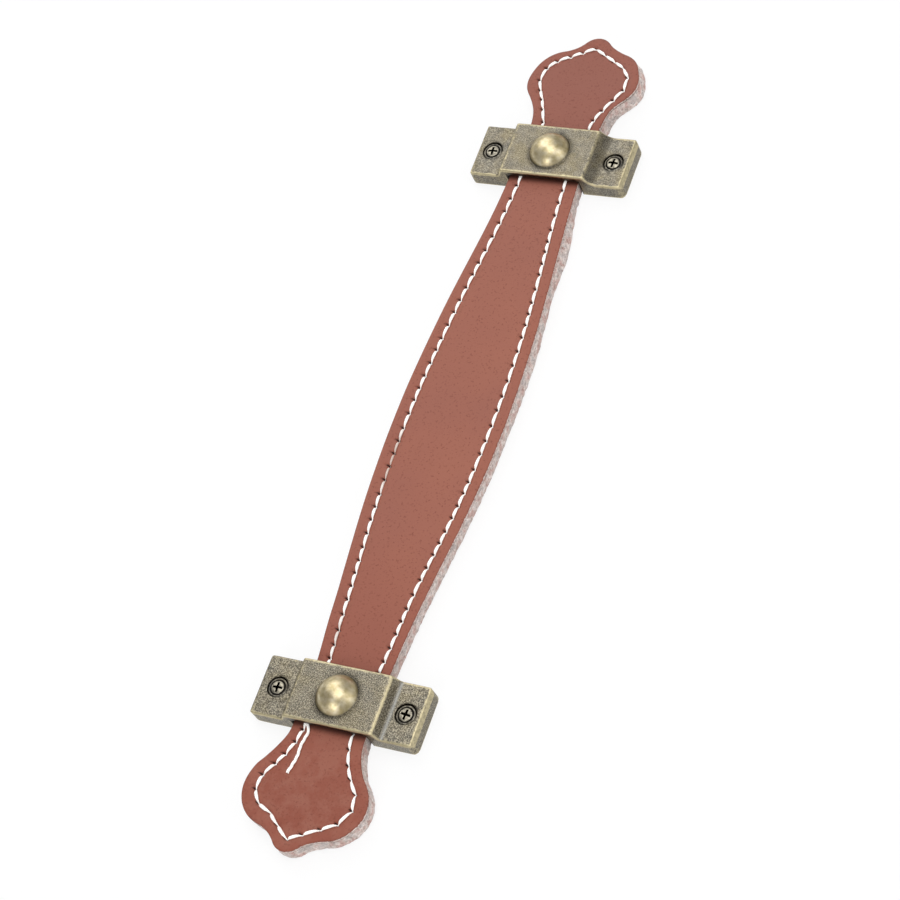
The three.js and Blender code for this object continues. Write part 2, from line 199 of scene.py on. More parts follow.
strap = {
    "bracketAt": 73.3,  # from the strap's middle to the middle of a bracket
    "middleHalf": 13.65,
    "neckHalf": 9,
    "neckStart": 72,
    "neckEnd": 80.3,
    "lobeAt": 96,
    "lobeRadius": 8.5,
    "lobeHalf": {1: 14.3, -1: 15.0},  # upper and lower end
    "shoulderRadius": 9,
    "tipRadius": 4,
    "tipAt": 109,
    "bottom": 0.4,
    "faceBottom": 3.2,
    "top": 4.3,
    "seamInset": 3.15,
    "lobeInset": 2.65,
    "tipInset": {1: 3.35, -1: 2.8},
    "stitchesPerSide": 64,
    "stationsPerStitch": 16,
    "unevenness": 0.32,
    "lean": 1.1,  # degrees that the upper end leans to the right
    "stretch": 0.65,  # the upper end is this much longer than the lower one
    "spineEnd": 103,
    # where the knife and the needle strayed: side, middle and reach along the strap, and how far outwards
    "cutStrays": [(1, 89.3, 7, -1.0), (1, 104, 4.5, 0.75), (-1, 92, 7, 0.6), (1, -98, 10, 0.5),
                  (1, -104.5, 4, 0.4), (-1, -88, 6, 0.5)],
    "seamStrays": [(1, 25, 45, 0.3), (1, -30, 40, 0.45), (1, -60, 20, 0.7), (1, 88, 7, 0.5),
                   (1, 80, 6, 0.7), (-1, 0, 66, -0.4), (-1, 97, 8, -0.25), (-1, 87, 8, 0.3),
                   (-1, 80, 7, -0.6), (-1, -96, 8, -0.7), (-1, -102.4, 3.8, -1.3)],
    # how the hand-cut grip differs from its plan: middle and reach along the strap, and how much
    "swells": [(-40, 30, 0.022), (38, 28, 0.022)],
    "drifts": [(-44, 32, -0.42), (52, 24, 0.16), (0, 30, -0.12)],
    "leftSwells": [(-20, 22, 0.3), (-56, 10, 0.2)],
    "widened": 0.24,
}


def gripHalf(y):
    swell = (1 + np.cos(np.pi * np.minimum(np.abs(y) / strap["neckStart"], 1))) / 2
    return strap["neckHalf"] + (strap["middleHalf"] - strap["neckHalf"]) * swell


def arcPlaces(centre, radius, start, stop, step=0.1):
    # radius may be a pair, which it then runs between
    first, last = radius if isinstance(radius, tuple) else (radius, radius)
    count = max(3, int(abs(stop - start) * max(first, last) / step))
    angle = np.linspace(start, stop, count)
    reach = np.linspace(first, last, count)
    return np.column_stack((centre[0] + reach * np.cos(angle), centre[1] + reach * np.sin(angle)))


def endStretches(end):
    # edge and seam of one end's right side, each from the neck to the lobe's side and on to the point
    radius = strap["lobeRadius"]
    lobe = np.array((strap["lobeHalf"][end] - radius, strap["lobeAt"]))
    reach = strap["neckHalf"] - lobe[0]
    climb = strap["lobeAt"] - strap["neckEnd"]
    hollowRadius = (reach ** 2 + climb ** 2 - radius ** 2) / (2 * (radius - reach))
    hollow = np.array((strap["neckHalf"] + hollowRadius, strap["neckEnd"]))
    meets = math.atan2(lobe[1] - hollow[1], lobe[0] - hollow[0])
    tip = np.array((0, strap["tipAt"] - strap["tipRadius"]))
    toLobe = lobe - tip
    distance = np.hypot(*toLobe)
    sideTip = strap["tipRadius"] + strap["shoulderRadius"]
    sideLobe = radius + strap["shoulderRadius"]
    along = (sideTip ** 2 - sideLobe ** 2 + distance ** 2) / (2 * distance)
    across = math.sqrt(sideTip ** 2 - along ** 2)
    ahead = toLobe / distance
    shoulder = tip + ahead * along + np.array((-ahead[1], ahead[0])) * across
    lobeTurn = math.atan2(shoulder[1] - lobe[1], shoulder[0] - lobe[0])
    tipTurn = math.atan2(shoulder[1] - tip[1], shoulder[0] - tip[0])
    seamRadius = radius - strap["lobeInset"]
    seamReach = (hollowRadius + strap["seamInset"], hollowRadius + strap["lobeInset"])
    besideNeck = [
        np.vstack((
            arcPlaces(hollow, fromHollow, math.pi, meets),
            arcPlaces(lobe, fromLobe, meets - math.pi, 0)[1:],
        ))
        for fromHollow, fromLobe in ((hollowRadius, radius), (seamReach, seamRadius))
    ]
    edgePoint = np.vstack((
        arcPlaces(lobe, radius, 0, lobeTurn),
        arcPlaces(shoulder, strap["shoulderRadius"], lobeTurn + math.pi, tipTurn + math.pi)[1:],
        arcPlaces(tip, strap["tipRadius"], tipTurn, math.pi / 2)[1:],
    ))
    seamTip = np.array((0, strap["tipAt"] - strap["tipInset"][end]))
    toLobe = lobe - seamTip
    leaves = math.atan2(toLobe[1], toLobe[0]) + math.asin(seamRadius / np.hypot(*toLobe)) + math.pi / 2
    turn = math.atan2(math.sin(leaves), math.cos(leaves))
    seamPoint = np.vstack((arcPlaces(lobe, seamRadius, 0, turn), seamTip))
    return (besideNeck[0], edgePoint), (besideNeck[1], seamPoint)


def rightLines():
    # edge and seam of the right side from the lower point to the upper one, in five matching stretches
    mirror = np.array((1, -1))
    y = np.linspace(-strap["neckEnd"], strap["neckEnd"], 1600)
    lines = []
    for upper, lower, inset in zip(endStretches(1), endStretches(-1), (0, strap["seamInset"])):
        grip = np.column_stack((gripHalf(y) - inset, y))
        lines.append([lower[1][::-1] * mirror, lower[0][::-1] * mirror, grip, upper[0], upper[1]])
    return lines


def measured(stretches):
    # one line, the length at each of its points and the length at the end of each stretch
    line = np.vstack([stretches[0]] + [part[1:] for part in stretches[1:]])
    lengths = np.concatenate(([0], np.cumsum(np.hypot(*np.diff(line, axis=0).T))))
    ends = np.cumsum([0] + [len(part) - 1 for part in stretches])
    return line, lengths, lengths[ends]


def lineAt(line, lengths, at):
    return np.column_stack((np.interp(at, lengths, line[:, 0]), np.interp(at, lengths, line[:, 1])))


(edgeLine, edgeLengths, edgeEnds), (seamLine, seamLengths, seamEnds) = map(measured, rightLines())
# stations crowd together around each needle hole, where the surface bends most
within = np.arange(strap["stationsPerStitch"]) / strap["stationsPerStitch"]
within -= 0.6 * np.sin(2 * np.pi * within) / (2 * np.pi)


def paced(seed):
    # lengths of the stations along one side, with stitches of uneven length as a hand makes them
    count = strap["stitchesPerSide"]
    steps = [1 + strap["unevenness"] * noise.noise(Vector((i * 0.7, seed * 3.1, 0.5)))
             for i in range(count)]
    holesAt = np.concatenate(([0], np.cumsum(steps))) * seamLengths[-1] / np.sum(steps)
    return (holesAt[:-1, None] + np.diff(holesAt)[:, None] * within).ravel()


seamAt = paced(1)
edgeAt = np.interp(seamAt, seamEnds, edgeEnds)
backAt = seamLengths[-1] - paced(2)  # the left side runs back down from the upper point
edgeBackAt = np.interp(backAt, seamEnds, edgeEnds)
flip = np.array((-1, 1))
edgeRing = np.vstack((
    lineAt(edgeLine, edgeLengths, edgeAt), lineAt(edgeLine, edgeLengths, edgeBackAt) * flip,
))
seamRing = np.vstack((
    lineAt(seamLine, seamLengths, seamAt), lineAt(seamLine, seamLengths, backAt) * flip,
))
inward = seamRing - edgeRing
inward /= np.hypot(*inward.T)[:, None]
for ring, strays in ((edgeRing, strap["cutStrays"]), (seamRing, strap["seamStrays"])):
    side = np.sign(ring[:, 0])
    y = ring[:, 1].copy()
    for which, middle, reach, out in strays:
        ring -= inward * (out * bump(y, middle, reach) * (side == which))[:, None]
border = np.hypot(*(seamRing - edgeRing).T)
inward = (seamRing - edgeRing) / border[:, None]
tightness = np.clip(border / 2.6, 0.5, 1)[:, None]  # squeezes the rings where the border is narrow
holes = seamRing[::strap["stationsPerStitch"]]
spine = np.column_stack((
    np.zeros(len(seamRing)), np.clip(seamRing[:, 1], -strap["spineEnd"], strap["spineEnd"]),
))


def atLevel(ring, level):
    return np.column_stack((ring, np.full(len(ring), level)))


def besideSeam(places):
    # distance of each place from the seam, below 0 on the side of the edge, and its way out to the edge
    tree = kdtree.KDTree(len(seamRing))
    for i, point in enumerate(seamRing):
        tree.insert((point[0], point[1], 0), i)
    tree.balance()
    nearest = np.array([tree.find((place[0], place[1], 0))[1] for place in places])
    away = places[:, :2] - seamRing[nearest]
    gap = np.hypot(*away.T) * np.where((away * inward[nearest]).sum(axis=1) < 0, -1, 1)
    return gap, -inward[nearest]


def layerMesh(name, rings, openEnd):
    # lofts one leather layer and closes the end of the loft that isn't drawn in to the spine
    bm = bmesh.new()
    bmesh.ops.triangle_fill(bm, use_beauty=True, edges=loft(bm, rings)[openEnd])
    bmesh.ops.remove_doubles(bm, verts=bm.verts, dist=0.004)
    bmesh.ops.dissolve_degenerate(bm, edges=bm.edges, dist=0.002)
    return toMesh(name, bm)


def asLaid(places):
    # the strap as it lies: a hand-cut grip a little off centre and an upper end that leans
    laid = np.array(places, float)
    y = laid[:, 1].copy()
    side = laid[:, 0]
    swell = 1 + humps(y, strap["swells"])
    widened = strap["widened"] * (1 - np.minimum(np.abs(y) / 70, 1) ** 6) * np.clip(side / 8, -1, 1)
    leftOut = humps(y, strap["leftSwells"]) * np.clip(side / 8, -1, 0)
    laid[:, 0] = side * swell + humps(y, strap["drifts"]) + widened + leftOut
    past = ramp(y, strap["bracketAt"], strap["tipAt"])
    angle = -math.radians(strap["lean"]) * np.minimum(past * 4, 1)
    reach = y - strap["bracketAt"]
    upper = reach > 0
    x = laid[:, 0].copy()
    laid[:, 0] = np.where(upper, x * np.cos(angle) - reach * np.sin(angle), x)
    laid[:, 1] = np.where(upper, strap["bracketAt"] + reach * np.cos(angle) + x * np.sin(angle), y)
    laid[:, 1] += strap["stretch"] * past
    return laid


# Face leather

needle = {
    "slant": (0.94, -0.34),  # heading of the slit that the awl leaves
    "length": 1.45,
    "width": 0.34,
    "shift": (-0.32, 0.1),  # from the stitch's end to the slit's middle
    "depth": 0.5,
    "pillow": 0.12,  # how far the thread pulls the leather down around a hole
}


def needleMarks(places):
    # how far each place lies in a slit and in the dent around it, both from 0 to 1
    slit = np.zeros(len(places))
    dent = np.zeros(len(places))
    heading = np.array(needle["slant"])
    for hole in holes:
        middle = hole + needle["shift"]
        away = places[:, :2] - middle
        near = np.abs(away).max(axis=1) < 2.2
        local = away[near]
        along = local @ heading / (needle["length"] / 2)
        across = local @ np.array((-heading[1], heading[0])) / (needle["width"] / 2)
        slit[near] = np.maximum(slit[near], np.exp(-(along ** 4) - across ** 2))
        dent[near] = np.maximum(dent[near], np.exp(-((local / 0.75) ** 2).sum(axis=1)))
    return slit, dent


face = {
    "spreads": [0, 0.2, 0.42, 0.62, 0.8, 0.92],  # shares of the way from the spine to the seam
    "edgeDrop": [(0.42, 0.0), (0.28, 0.012), (0.17, 0.04), (0.08, 0.1), (0.02, 0.19), (0.0, 0.3)],
    "edgeSteps": [0.62, 0.9, 1.2, 1.5],  # from the edge inwards
    "seamSteps": [-0.95, -0.7, -0.52, -0.36, -0.24, -0.12, 0, 0.12, 0.24, 0.36, 0.52, 0.7, 0.95, 1.3],
    # down the cut: how far in and at which level. It turns in near its bottom, which leaves a dark line
    # above the backing
    "cutSteps": [(0, 3.85), (0, 3.72), (0.02, 3.62), (0.12, 3.54), (0.28, 3.42), (0.28, 3.22),
                 (3.4, 3.22)],
    "channel": 0.1,  # depth of the valley that the stitches pull along the seam
    "channelWidth": 0.8,
    "wave": 0.05,  # height of the slow unevenness of the upper surface
    "cutRoughness": ((0.45, 2, 0.035), (1.9, 3, 0.05)),  # size, seed and height of each noise
}


def faceRings():
    # rings from the middle of the upper surface out over the edge and in again below
    top = strap["top"]
    inner = seamRing + inward * face["seamSteps"][-1]
    rings = [atLevel(spine + (inner - spine) * share, top) for share in face["spreads"]]
    rings += [atLevel(seamRing + inward * step * (tightness if step < 0 else 1), top)
              for step in face["seamSteps"][::-1]]
    fromEdge = [(step, top) for step in face["edgeSteps"][::-1]]
    fromEdge += [(step, top - drop) for step, drop in face["edgeDrop"]]
    fromEdge += face["cutSteps"]
    return rings + [atLevel(edgeRing + inward * tightness * step, level) for step, level in fromEdge]


def leatherCreases(places):
    # shallow wrinkles in the lower end, beside its bracket
    y = places[:, 1]
    folds = noiseAt(places * (0.35, 1.3, 1), 2.6, 5)
    return 0.09 * folds * bump(y, -86, 9) + 0.05 * noiseAt(places, 4.5, 6) * bump(y, -96, 14)


def buildFaceLeather(material):
    mesh = layerMesh("faceLeather", faceRings(), 1)
    places, _, _ = meshArrays(mesh)
    level = places[:, 2]
    fromSeam, outwards = besideSeam(places)
    upper = ramp(level, 4.0, 4.2)
    slit, dent = needleMarks(places)
    channel = np.exp(-(fromSeam / face["channelWidth"]) ** 2)
    wave = noiseAt(places * (1, 0.6, 1), 9, 1) * face["wave"]
    drop = face["channel"] * channel + needle["depth"] * slit + needle["pillow"] * dent - wave
    raised = places.copy()
    raised[:, 2] -= upper * (drop - leatherCreases(places))
    rough = sum(noiseAt(places, size, seed) * height for size, seed, height in face["cutRoughness"])
    wall = ramp(level, 4.15, 3.9) * ramp(level, 3.3, 3.5)
    raised[:, :2] += outwards * (rough * wall)[:, None]
    setPlaces(mesh, asLaid(raised))
    # painted shadow: the leather is marked darker within 1.3 mm of each bracket, where the bracket's
    # shadow falls
    besideBracket = np.abs(np.abs(places[:, 1]) - strap["bracketAt"]) - bracket["width"] / 2
    setShares(
        mesh, needle=slit * upper, dent=dent * upper, border=bump(fromSeam, -1.7, 1.4) * upper,
        tucked=ramp(besideBracket, 1.3, 0) ** 1.5 * upper,
        level=(level - strap["faceBottom"]) / (strap["top"] - strap["faceBottom"]),
    )
    finishPiece("strap_face_leather_sewn", mesh, "strap_face_leather", material)


faceTones = {
    "even": ((0.3, "#925747"), (0.5, "#965a49"), (0.7, "#9a5e4c")),
    "fine": "#804c3c",
    "lowerEnd": "#894938",
    "upperEnd": "#8c5446",
    "blotch": "#a3705f",
    "border": "#935240",
    "tucked": "#40201a",
    "dent": "#6a3023",
    "needle": "#240a06",
    "burnish": "#6f3728",
    "bare": ((0.36, "#7d675f"), (0.46, "#c2aea6"), (0.62, "#e3d6cf")),
    "gap": "#6b574f",
}


def makeFaceLeather():
    # aniline-dyed cowhide with a light clear finish, rolled flat: even red-brown with a low sheen,
    # nearly invisible grain, and pale raw hide where the blade cut it
    material, add = newMaterial("anilineDyedCowhide")
    grid = millimetres(add)
    cloudy, fine, lumps, fray, fibres, swells = [
        add("TexNoise", {"Vector": grid, "Scale": 1 / size, "Detail": detail, "Roughness": rough})
        for size, detail, rough in (
            (22, 3, 0.5), (1.1, 3, 0.5), (5.5, 4, 0.65), (0.5, 3, 0.5), (0.6, 4, 0.7), (3.5, 4, 0.5))
    ]
    # both ends have taken up more dye, the lower one unevenly; its lighter blotches are partly painted
    # sheen
    along = add("SeparateXYZ", [grid], "Y")
    blotches = add("MapRange", [lumps, 0.44, 0.6])
    share = add("MapRange", [along, -70, -90, 0, 0.3])
    blotches = add("Math", [share, blotches], operation="MULTIPLY")
    # down the cut: a burnished brown line, then bare hide with dark fibre ends, and painted shade in the
    # gap above the backing
    level = add("Attribute", (), "Fac", attribute_name="level")
    fray = add("MapRange", [fray, 0.3, 0.7, -0.09, 0.09])
    ragged = add("Math", [level, fray], operation="ADD")
    cut = add("MapRange", [ragged, 0.84, 0.76])
    tones = faceTones
    hide = coated(add, add("ValToRGB", [cloudy], stops=tones["even"]), (
        (fine, 0.35, 0.65, 0.04, tones["fine"]),
        (along, -30, -105, 1, tones["lowerEnd"]),
        (along, 50, 95, 1, tones["upperEnd"]),
        (blotches, 0, 1, 1, tones["blotch"]),
        ("border", 0, 1, 0.35, tones["border"]),
        # painted shadow of the brackets on the leather
        ("tucked", 0, 1, 0.75, tones["tucked"]),
        ("dent", 0.25, 1, 0.5, tones["dent"]),
        # painted shade inside the needle slits
        ("needle", 0.15, 0.6, 1, tones["needle"]),
        (ragged, 0.97, 0.9, 0.6, tones["burnish"]),
        (cut, 0, 1, 1, add("ValToRGB", [fibres], stops=tones["bare"])),
        # painted shade in the gap between the face and the backing
        (ragged, 0.4, 0.3, 0.65, tones["gap"]),
    ))
    pores = add("TexVoronoi", {"Vector": grid, "Scale": 1 / 0.55}, feature="DISTANCE_TO_EDGE")
    pores = add("MapRange", [pores, 0, 0.12])
    relief = add("Bump", {"Height": pores, "Strength": 0.25, "Distance": 0.03 * mm})
    relief = add("Bump", {
        "Height": swells, "Strength": 0.35, "Distance": 0.05 * mm, "Normal": relief})
    rough = add("MapRange", [cloudy, 0.3, 0.7, 0.5, 0.6])
    rough = add("Math", [rough, cut], operation="MAXIMUM")
    shader = add("BsdfPrincipled", {
        "Base Color": hide, "Roughness": rough, "Normal": relief, "Metallic": 0, "IOR": 1.45,
        "Specular IOR Level": 0.35,
    })
    add("OutputMaterial", {"Surface": shader})
    return material


# Backing leather

backing = {
    "wallLevels": [3.2, 3.14, 3.0, 2.8, 2.55, 2.3, 2.05, 1.8, 1.55, 1.3, 1.05, 0.8, 0.62, 0.48, 0.4],
    "inset": 0.1,
    "rimBevel": 0.07,
    "upperSteps": [3.4, 1.2, 0.22],  # from the edge inwards
    "lowerSteps": [0.5, 0.9, 1.4, 1.9],
    "seamSteps": [-0.7, -0.4, -0.15, 0.1, 0.35, 0.65, 1.0, 1.6],
    "spreads": [0.35, 0.7, 1],  # shares of the way from the seam to the spine
    "fray": 0.16,
    "fluff": 0.05,
    "hanging": 0.35,  # length of the fibres that hang from the lower edge
    # how far the right side's cut leans out, in the ends and at places along the grip
    "endsFrom": 80.8,
    "endSlants": {"upper": 0.85, "lower": 0.2},
    "gripSlants": [(49, 15, 1.1), (18, 22, 0.45)],  # middle and reach along the strap, and how far
    "channel": 0.16,  # how far the under thread pulls the leather up along the seam
}


def backingRings():
    bottom = strap["bottom"]
    y = edgeRing[:, 1]
    neck = backing["endsFrom"]
    slant = (ramp(y, neck, neck + 2) * ramp(y, 108, 104) * backing["endSlants"]["upper"]
             + ramp(y, -neck, -neck - 4) * backing["endSlants"]["lower"]
             + humps(y, backing["gripSlants"]))
    slant = (slant * np.clip(edgeRing[:, 0] / 3, 0, 1))[:, None]
    rings = [atLevel(edgeRing + inward * step, strap["faceBottom"]) for step in backing["upperSteps"]]
    for level in backing["wallLevels"]:
        rim = backing["rimBevel"] * (max(0, level - 3.05) + max(0, 0.55 - level)) / 0.15
        depth = (strap["faceBottom"] - level) / (strap["faceBottom"] - bottom)
        rings.append(atLevel(edgeRing + inward * (backing["inset"] + rim - slant * depth), level))
    rings += [atLevel(edgeRing + inward * step, bottom) for step in backing["lowerSteps"]]
    rings += [atLevel(seamRing + inward * step, bottom) for step in backing["seamSteps"]]
    inner = rings[-1]
    return rings + [inner + (atLevel(spine, bottom) - inner) * share for share in backing["spreads"]]


def buildBacking(material):
    mesh = layerMesh("backingLeather", backingRings(), 0)
    places, _, _ = meshArrays(mesh)
    z = places[:, 2]
    slit, dent = needleMarks(places)
    under = ramp(z, 0.5, 0.42)
    fibres = noiseAt(places * (1, 1, 0.8), 0.55, 7) * 0.6 + noiseAt(places, 1.6, 8) * 0.8
    fromSeam, outwards = besideSeam(places)
    wall = ramp(z, 3.2, 3.05) * (fromSeam < -1.8)
    raised = places.copy()
    raised[:, :2] += outwards * (fibres * backing["fray"] * wall)[:, None]
    channel = backing["channel"] * np.exp(-(fromSeam / 0.6) ** 2)
    fluff = np.maximum(0, noiseAt(places, 0.8, 9)) * backing["fluff"]
    lowest = (fromSeam < -2.2) * ramp(z, 0.62, 0.42)
    hanging = backing["hanging"] * lowest * np.maximum(0, noiseAt(places, 1.1, 13))
    raised[:, 2] += under * (channel + 0.2 * dent + fluff) - hanging
    setPlaces(mesh, asLaid(raised))
    # hollow is painted shade where the frayed cut sinks in, and needle is painted shade in the slits
    setShares(mesh, needle=slit * under, hollow=np.clip(-fibres, 0, 1))
    finishPiece("strap_backing_leather_split", mesh, "strap_backing_leather", material)


backingTones = {
    "bundles": ((0.28, "#938279"), (0.4, "#c3b2ab"), (0.54, "#d9cbc5"), (0.7, "#f3eae6")),
    "pink": "#dca79d",
    "blue": "#b4bcc6",
    "speck": "#6a5249",
    "hollow": "#857972",
    "needle": "#4a332c",
}


def makeBackingLeather():
    # raw chrome-tanned split leather, cut with a knife: matte pink-grey with darker fibre bundles
    # and pale flesh between them, and loose fibres along the cut
    material, add = newMaterial("rawSplitLeather")
    grid = millimetres(add)
    bundles, patches, specks, nap = [
        add("TexNoise", {
            "Vector": grid, "Scale": 1 / size, "Detail": detail, "Roughness": rough, "Distortion": bent})
        for size, detail, rough, bent in (
            (0.9, 4, 0.65, 0.6), (2.2, 3, 0.6, 0), (0.45, 3, 0.7, 0), (0.3, 4, 0.7, 0))
    ]
    tones = backingTones
    flesh = add("ValToRGB", [bundles], stops=tones["bundles"])
    flesh = coated(add, flesh, (
        (patches, 0.5, 0.6, 0.55, tones["pink"]),
        (patches, 0.46, 0.38, 0.4, tones["blue"]),
    ), "MULTIPLY")
    flesh = coated(add, flesh, (
        (specks, 0.56, 0.64, 0.6, tones["speck"]),
        # painted shade where the fibres of the cut sink in
        ("hollow", 0.1, 0.6, 0.25, tones["hollow"]),
        # painted shade inside the needle slits
        ("needle", 0.2, 0.8, 1, tones["needle"]),
    ))
    relief = add("Bump", {"Height": bundles, "Strength": 0.8, "Distance": 0.12 * mm})
    relief = add("Bump", {"Height": nap, "Strength": 0.7, "Distance": 0.06 * mm, "Normal": relief})
    shader = add("BsdfPrincipled", {
        "Base Color": flesh, "Roughness": 0.95, "Normal": relief, "Metallic": 0, "IOR": 1.5,
        "Sheen Weight": 0.15,
    })
    add("OutputMaterial", {"Surface": shader})
    return material


# Threads

thread = {
    "width": 0.8,
    "height": 0.56,
    # share of the way from hole to hole, share of the width, height above the hole's bottom
    "form": [(0, 0.35, 0), (0.07, 0.4, 0.3), (0.14, 0.68, 0.8), (0.25, 0.95, 1), (0.45, 1, 1),
             (0.65, 0.86, 0.98), (0.8, 0.6, 0.86), (0.93, 0.38, 0.35)],
    "sides": 8,
    "dive": 0.75,
    "sink": 0.1,  # how far a stitch presses into the leather
    "bulge": 0.1,  # sideways swing of a stitch, always towards the left
    # where stitches on the left are drawn tight into the leather: middle, reach and how much
    "tightOnes": [(-14, 13, 0.55), (-58, 8, 0.3)],
    "clear": 0.04,  # the door presses the stitches of the back flat
    "twist": ((0, "#f4efe8"), (0.5, "#fffdf9")),
    "soiled": "#c9b3a6",
}


def threadRing(middle, across, width, height, sides):
    # a ring of the thread around a place, seen along its run
    ring = []
    for i in range(sides):
        angle = 2 * math.pi * i / sides
        side = math.cos(angle) * width / 2
        ring.append((middle[0] + across[0] * side, middle[1] + across[1] * side,
                     middle[2] + math.sin(angle) * height / 2))
    return ring


def slack(i, y, side):
    # how full a stitch lies, from 1 when it is loose down to where it is drawn tight
    tight = float(humps(y, thread["tightOnes"])) * (side < 0)
    return max(0.35, 1 - tight + 0.12 * noise.noise(Vector((i * 1.7, 4.2, 0))))


def buildThread(name, node, surface, outwards, material):
    # outwards is 1 on the face and -1 on the back
    rings = []
    for i, start in enumerate(holes):
        stop = holes[(i + 1) % len(holes)]
        heading = (stop - start) / np.hypot(*(stop - start))
        across = np.array((-heading[1], heading[0]))
        before = start - holes[i - 1]
        mean = heading + before / np.hypot(*before)
        mean /= np.hypot(*mean)
        plump = slack(i * outwards, start[1], start[0])
        for share, wide, level in thread["form"]:
            turned = np.array((-mean[1], mean[0])) if share == 0 else across
            swing = thread["bulge"] * math.sin(math.pi * share) * (-1 if across[0] > 0 else 1)
            middle = start + (stop - start) * share + across * swing
            rise = thread["height"] * (0.5 - (1 - plump) * 0.6) - thread["sink"]
            z = surface + (rise - thread["dive"] * (1 - level)) * outwards
            width = thread["width"] * wide * (0.45 + 0.55 * plump)
            height = thread["height"] * (0.7 + 0.3 * wide)
            rings.append(threadRing((*middle, z), turned, width, height, thread["sides"]))
    bm = bmesh.new()
    firstEdges, lastEdges = loft(bm, rings)
    bmesh.ops.bridge_loops(bm, edges=firstEdges + lastEdges)
    if outwards > 0:
        addTail(bm, surface)
    mesh = toMesh(name, bm)
    places, _, _ = meshArrays(mesh)
    tight = np.array([1 - slack(0, place[1], place[0]) for place in places])
    places[:, 2] = np.maximum(places[:, 2], thread["clear"])
    setPlaces(mesh, asLaid(places))
    setShares(mesh, soiled=np.clip(tight * 1.4, 0, 1))
    finishPiece(name, mesh, node, material)


tail = {
    "route": [(-5.5, -79.9), (-4.9, -81.0), (-4.35, -81.9), (-4.7, -83.6), (-5.0, -85.4), (-4.85, -86.8),
              (-4.8, -88.0), (-5.2, -90.0), (-5.7, -92.0)],
    "strandWidth": 0.44,
    "spread": 0.13,
    "turns": 2.6,
    "strands": 3,
    "smoothing": 6,  # passes that round the route
}


def addTail(bm, surface):
    # the loose end, half unwound into its strands
    route = np.array(tail["route"])
    lengths = np.concatenate(([0], np.cumsum(np.hypot(*np.diff(route, axis=0).T))))
    at = np.linspace(0, lengths[-1], 60)
    middle = lineAt(route, lengths, at)
    for _ in range(tail["smoothing"]):
        middle[1:-1] = (middle[:-2] + 2 * middle[1:-1] + middle[2:]) / 4
    heading = np.gradient(middle, axis=0)
    heading /= np.hypot(*heading.T)[:, None]
    across = np.column_stack((-heading[:, 1], heading[:, 0]))
    for strand in range(tail["strands"]):
        phase = 2 * math.pi * strand / tail["strands"]
        rings = []
        for i in range(len(at)):
            share = i / (len(at) - 1)
            angle = phase + 2 * math.pi * tail["turns"] * share
            spread = tail["spread"] * (1 + 1.1 * share ** 2)
            width = tail["strandWidth"] * (1 - 0.35 * share ** 3)
            z = surface + width / 2 - 0.02 + (1 + math.sin(angle)) * tail["spread"]
            place = middle[i] + across[i] * math.cos(angle) * spread
            rings.append(threadRing((*place, z), across[i], width, width * 0.9, thread["sides"]))
        firstEdges, lastEdges = loft(bm, rings)
        for edges in (firstEdges, lastEdges):
            bmesh.ops.contextual_create(bm, geom=edges)


def makeThread():
    # waxed polyester sewing thread, strands twisted: white and slightly glossy, with a painted glow that
    # makes it brighter than the lamps alone, and greyer where the leather has come off on it
    material, add = newMaterial("waxedPolyesterThread")
    # the twist is drawn as slanted bands 0.3 mm apart, the darker ones painted shade between the strands
    bands = add("TexWave", {
        "Vector": millimetres(add), "Scale": 1 / 0.9, "Distortion": 0.6, "Detail": 1,
    }, "Fac", bands_direction="DIAGONAL")
    white = add("ValToRGB", [bands], stops=thread["twist"])
    soiled = add("Attribute", (), "Fac", attribute_name="soiled")
    white = coated(add, white, ((soiled, 0.1, 0.7, 0.85, thread["soiled"]),))
    # painted glow: a weak emission that brightens the thread beyond what the lamps give
    glow = add("MapRange", [soiled, 0.1, 0.5, 0.16, 0])
    relief = add("Bump", {"Height": bands, "Strength": 0.4, "Distance": 0.03 * mm})
    shader = add("BsdfPrincipled", {
        "Base Color": white, "Roughness": 0.6, "Normal": relief, "Metallic": 0, "IOR": 1.5,
        "Emission Color": "#ffffff", "Emission Strength": glow,
    })
    add("OutputMaterial", {"Surface": shader})
    return material


# Brackets

bracket = {
    "half": 20.25,
    "width": 14.4,
    "footTop": 4.27,
    "legFoot": {1: 12.36, -1: 12.1},  # right and left
    "bridgeHalf": 11.05,
    "bridgeTop": 6.74,
    "slotHalf": 9.40,
    "slotTop": 5.1,
    "slotCorner": 1.1,
    "endBevel": (0.55, 1.15),  # across the top and down the end
    "rimBevel": 0.34,
    "ridgeBevel": 0.45,
    "valleyRadius": {"left": 0.45, "upperRight": 1.9, "lowerRight": 0.6},
    "cornerRadius": 1.3,
    "domeRadius": 5.02,
    "domeRise": 3.3,
    "grooveWidth": 0.3,
    "grooveDepth": 0.13,
    "boreRadius": 1.5,
    "seatRadius": 2.55,
    "seatFloor": 2.36,
    "seatDepth": 0.6,
    "screwAt": 16.03,
    "ahead": 0.12,  # each sits this much further up the strap than its fixing hole's middle
    "voxel": 0.15,
    "softness": 2,  # passes that soften the casting
    "kept": 0.55,  # share of the casting's faces
    "skew": 0.03,  # height of its unevenness
}


def prism(name, outline, axis, low, high, bevels=()):
    # an outline pulled out along an axis, with some of its long edges rounded
    bm = bmesh.new()
    if axis == "Y":
        verts = [bm.verts.new((x, low, z)) for x, z in outline]
        pull = (0, high - low, 0)
    else:
        verts = [bm.verts.new((x, y, low)) for x, y in outline]
        pull = (0, 0, high - low)
    side = bm.faces.new(verts)
    pulled = bmesh.ops.extrude_face_region(bm, geom=[side])["geom"]
    bmesh.ops.translate(bm, verts=[v for v in pulled if isinstance(v, bmesh.types.BMVert)], vec=pull)
    bmesh.ops.recalc_face_normals(bm, faces=bm.faces)
    for picks, offset, segments in bevels:
        edges = [edge for edge in bm.edges if picks(edge)]
        bmesh.ops.bevel(bm, geom=edges, offset=offset, affect="EDGES", segments=segments,
                        profile=0.5, material=-1)
    return toObject(name, toMesh(name, bm))


